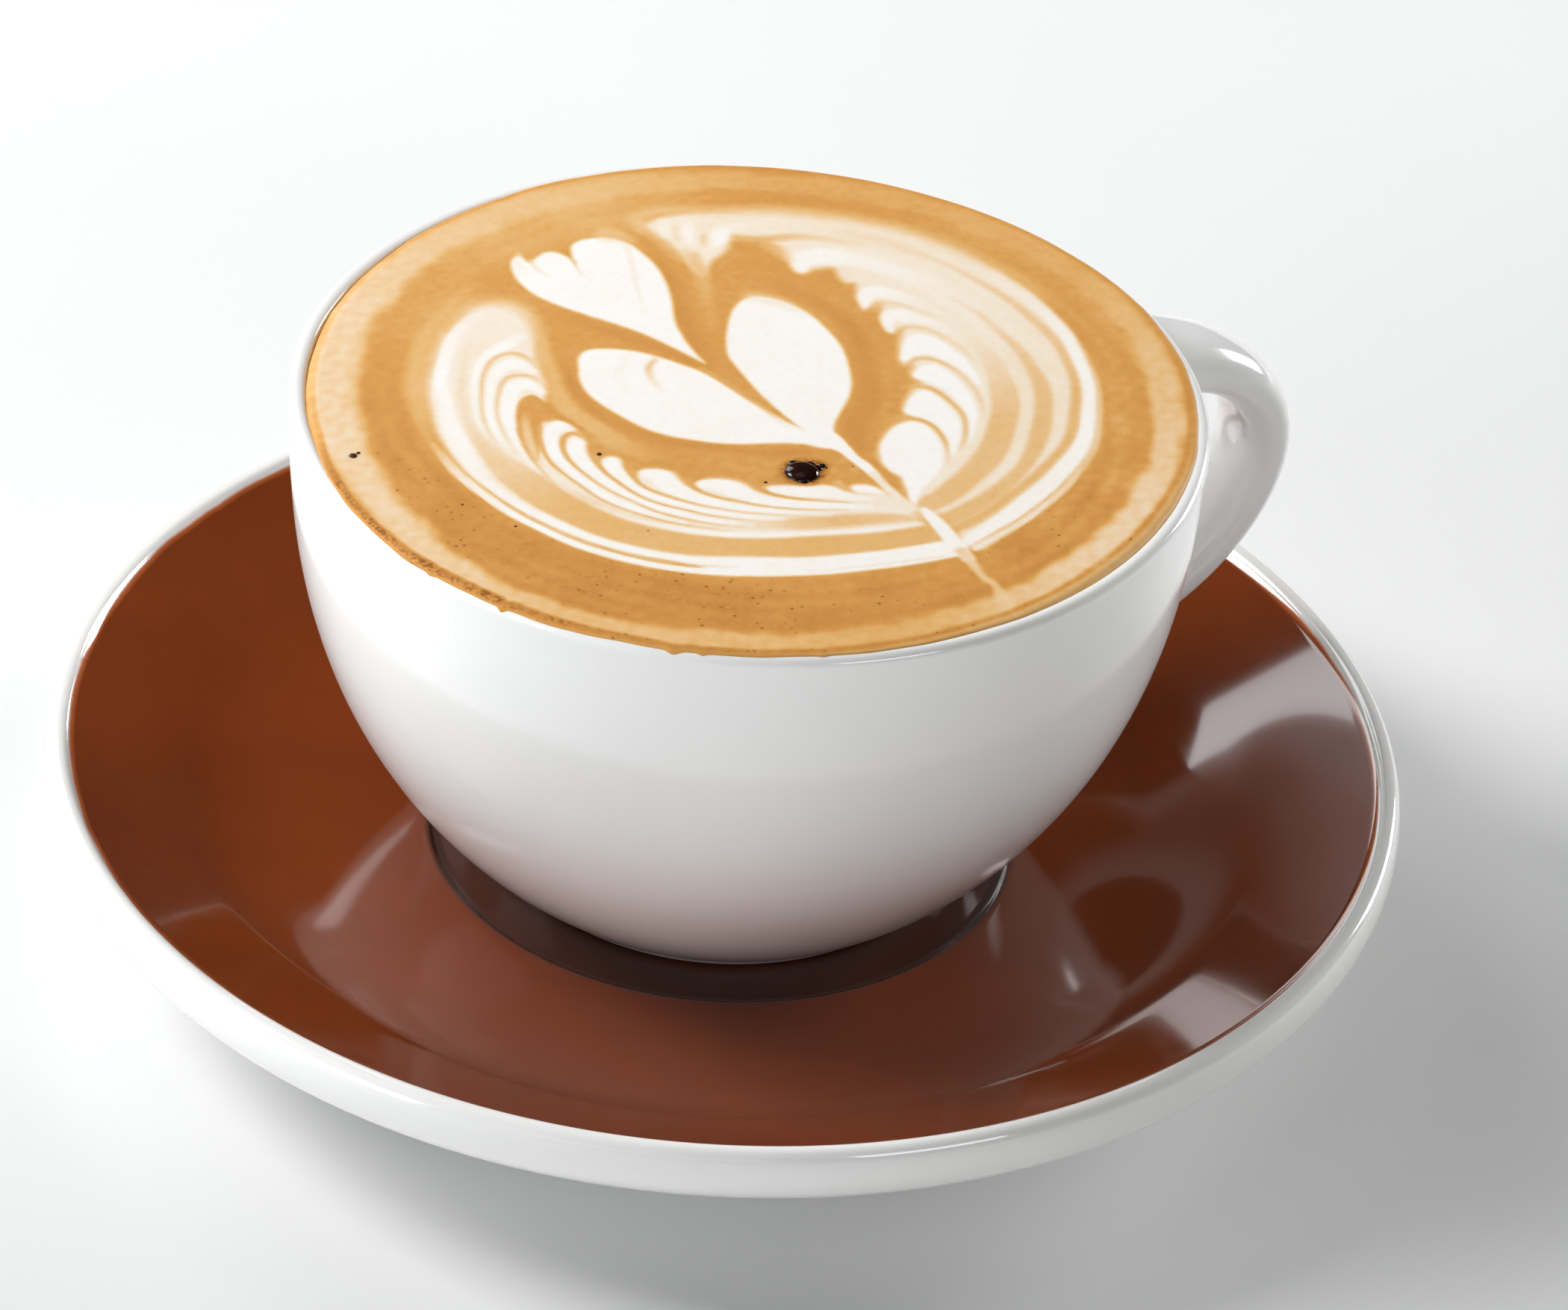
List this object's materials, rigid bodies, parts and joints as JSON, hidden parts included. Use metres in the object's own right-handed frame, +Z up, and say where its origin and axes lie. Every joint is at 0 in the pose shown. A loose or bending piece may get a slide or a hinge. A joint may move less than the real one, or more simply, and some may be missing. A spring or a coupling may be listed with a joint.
{
  "type": "latte in a cup and saucer",
  "caption": "Round porcelain cup with an ear handle, filled to the brim with milky coffee and standing in the well of a wide glazed saucer.",
  "frame": {"origin": "on the table under the middle of the saucer", "axes": "+Z up, +X towards the handle, +Y to the left of it"},
  "size_m": [0.15, 0.15, 0.0655],
  "materials": {
    "porcelain": "glossy white glaze",
    "brown_glaze": "glossy dark brown glaze with a white rim and underside",
    "crema": "fine wet foam"
  },
  "bodies": {
    "root": {"saucer": "brown_glaze", "cup": "porcelain", "drink": "crema"}
  },
  "joints": []
}
